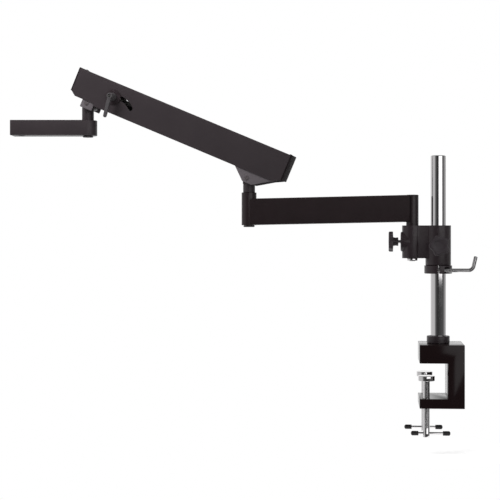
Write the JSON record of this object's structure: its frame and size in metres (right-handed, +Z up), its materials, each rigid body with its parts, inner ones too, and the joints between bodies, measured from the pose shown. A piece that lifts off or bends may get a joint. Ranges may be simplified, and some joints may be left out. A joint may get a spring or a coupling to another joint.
{
  "type": "articulating microscope stand",
  "caption": "Articulating microscope stand: table clamp, chromed pillar, swinging beam and spring-balanced parallel arm, ending in a short arm bored for a microscope holder.",
  "frame": {"origin": "underside of the clamp's upper jaw, on the pillar's axis", "axes": "+Z up along the pillar, -X the way the arm reaches at rest, -Y the side with the knob and the lock lever"},
  "size_m": [0.9817, 0.1439, 0.7631],
  "materials": {
    "gloss_black_enamel": "glossy black stoved enamel on steel",
    "satin_black_cast": "satin black paint on a machined casting",
    "powder_coated_steel": "fine-textured black powder coat on steel",
    "hard_chrome": "polished hard chrome on steel",
    "zinc_plated_steel": "bright zinc plate on steel",
    "black_rubber": "matt black rubber",
    "black_moulded_nylon": "moulded black nylon, fine spark texture",
    "grey_die_cast": "dark grey painted die casting",
    "sintered_bronze": "plain sintered bronze",
    "oiled_spring_steel": "oil-tempered spring steel"
  },
  "bodies": {
    "base": {"clamp_body": "gloss_black_enamel", "pillar": "hard_chrome", "foot_collar": "satin_black_cast", "foot_set_screw": "zinc_plated_steel"},
    "pad_near": {"clamp_pad_near": "hard_chrome"},
    "screw_near": {"clamp_screw_near": "hard_chrome"},
    "bar_near": {"sliding_bar_near": "hard_chrome", "bar_cap_inner_near": "black_rubber", "bar_cap_outer_near": "black_rubber"},
    "pad_far": {"clamp_pad_far": "hard_chrome"},
    "screw_far": {"clamp_screw_far": "hard_chrome"},
    "bar_far": {"sliding_bar_far": "hard_chrome", "bar_cap_inner_far": "black_rubber", "bar_cap_outer_far": "black_rubber"},
    "collar": {"safety_collar": "satin_black_cast"},
    "handle": {"collar_handle": "hard_chrome"},
    "coupling": {"coupling_block": "satin_black_cast"},
    "pillar_knob": {"pillar_knob": "black_moulded_nylon", "pillar_knob_stud": "hard_chrome"},
    "post_knob": {"post_knob": "black_moulded_nylon", "post_knob_stud": "hard_chrome"},
    "lower_arm": {"arm_post": "powder_coated_steel", "post_nut": "hard_chrome", "lower_arm_beam": "powder_coated_steel", "elbow_sleeve": "powder_coated_steel", "elbow_bush": "sintered_bronze"},
    "elbow": {"elbow_fork": "powder_coated_steel", "elbow_upper_pin": "zinc_plated_steel", "elbow_keeper_washer": "satin_black_cast", "elbow_keeper_screw": "zinc_plated_steel"},
    "spring_arm": {"arm_housing": "powder_coated_steel", "rear_end_plate": "powder_coated_steel", "front_end_plate": "powder_coated_steel", "rear_cover_screw": "zinc_plated_steel", "front_cover_screw": "zinc_plated_steel", "rear_cheek_near": "powder_coated_steel", "rear_cheek_far": "powder_coated_steel", "front_cheek_near": "powder_coated_steel", "front_cheek_far": "powder_coated_steel", "rear_lower_pin": "zinc_plated_steel", "front_lower_pin": "zinc_plated_steel", "spring_bar": "zinc_plated_steel", "balance_spring_near": "oiled_spring_steel", "balance_spring_far": "oiled_spring_steel"},
    "upper_link": {"upper_link": "zinc_plated_steel", "spring_pin": "zinc_plated_steel", "lock_bolt": "zinc_plated_steel", "lock_washer": "grey_die_cast", "lock_far_washer": "zinc_plated_steel", "lock_nut": "zinc_plated_steel"},
    "lock_lever": {"lock_lever": "grey_die_cast"},
    "nose": {"nose_fork": "powder_coated_steel", "nose_upper_pin": "zinc_plated_steel", "nose_keeper_washer": "satin_black_cast", "nose_keeper_screw": "zinc_plated_steel"},
    "front_arm": {"front_arm": "powder_coated_steel", "tip_set_screw": "zinc_plated_steel"}
  },
  "joints": [
    {"name": "pad_travel_near", "type": "slide", "parent": "base", "child": "pad_near", "axis": [0, 0, 1], "range_m": [-0.034, 0.024]},
    {"name": "screw_turn_near", "type": "hinge", "parent": "pad_near", "child": "screw_near", "pos_m": [-0.026, -0.0395, -0.0353], "axis": [0, 0, 1], "range_deg": [-6123, 4323]},
    {"name": "bar_slide_near", "type": "slide", "parent": "screw_near", "child": "bar_near", "axis": [1, 0, 0], "range_m": [-0.0262, 0.0088]},
    {"name": "pad_travel_far", "type": "slide", "parent": "base", "child": "pad_far", "axis": [0, 0, 1], "range_m": [-0.034, 0.024]},
    {"name": "screw_turn_far", "type": "hinge", "parent": "pad_far", "child": "screw_far", "pos_m": [-0.026, 0.0395, -0.0353], "axis": [0, 0, 1], "range_deg": [-6123, 4323]},
    {"name": "bar_slide_far", "type": "slide", "parent": "screw_far", "child": "bar_far", "axis": [1, 0, 0], "range_m": [-0.0151, 0.0199]},
    {"name": "collar_slide", "type": "slide", "parent": "base", "child": "collar", "axis": [0, 0, 1], "range_m": [-0.127, 0.14]},
    {"name": "collar_handle_turn", "type": "hinge", "parent": "collar", "child": "handle", "pos_m": [0, -0.02215, 0.1863], "axis": [1, 0, 0], "range_deg": [-90, 90]},
    {"name": "coupling_swivel", "type": "hinge", "parent": "collar", "child": "coupling", "pos_m": [0, 0, 0.2377], "axis": [0, 0, 1], "range_deg": [-150, 150]},
    {"name": "pillar_knob_turn", "type": "hinge", "parent": "coupling", "child": "pillar_knob", "pos_m": [0, 0, 0.2365], "axis": [0, -1, 0], "range_deg": [0, 360]},
    {"name": "post_knob_turn", "type": "hinge", "parent": "coupling", "child": "post_knob", "pos_m": [-0.0527, 0, 0.2447], "axis": [-1, 0, 0], "range_deg": [0, 360]},
    {"name": "lower_arm_swing", "type": "hinge", "parent": "coupling", "child": "lower_arm", "pos_m": [-0.0527, 0, 0.3127], "axis": [0, 0, 1], "range_deg": [-130, 130]},
    {"name": "elbow_swing", "type": "hinge", "parent": "lower_arm", "child": "elbow", "pos_m": [-0.39165, 0.02251, 0.313], "axis": [0, 0, 1], "range_deg": [-135, 135]},
    {"name": "spring_arm_tilt", "type": "hinge", "parent": "elbow", "child": "spring_arm", "pos_m": [-0.39165, 0.02251, 0.3762], "axis": [0.0837, 0.9965, 0], "range_deg": [-66.8, 0], "deforming": ["balance_spring_near", "balance_spring_far"]},
    {"name": "upper_link_tilt", "type": "hinge", "parent": "elbow", "child": "upper_link", "pos_m": [-0.39165, 0.02251, 0.4162], "axis": [0.0837, 0.9965, 0], "range_deg": [-66.8, 0]},
    {"name": "nose_levelling", "type": "hinge", "parent": "spring_arm", "child": "nose", "pos_m": [-0.73443, 0.0513, 0.53638], "axis": [0.0837, 0.9965, 0], "range_deg": [0, 66.8]},
    {"name": "lock_lever_turn", "type": "hinge", "parent": "upper_link", "child": "lock_lever", "pos_m": [-0.67494, 0.0463, 0.54799], "axis": [-0.0837, -0.9965, 0], "range_deg": [-60, 60]},
    {"name": "front_arm_swing", "type": "hinge", "parent": "nose", "child": "front_arm", "pos_m": [-0.74041, 0.0518, 0.4864], "axis": [0, 0, 1], "range_deg": [-139, 139]}
  ],
  "couplings": [
    {"joint": "upper_link_tilt", "follows": "spring_arm_tilt", "ratio": 1},
    {"joint": "nose_levelling", "follows": "spring_arm_tilt", "ratio": -1},
    {"joint": "screw_turn_near", "follows": "pad_travel_near", "rad_per_m": 3141.6},
    {"joint": "screw_turn_far", "follows": "pad_travel_far", "rad_per_m": 3141.6}
  ]
}
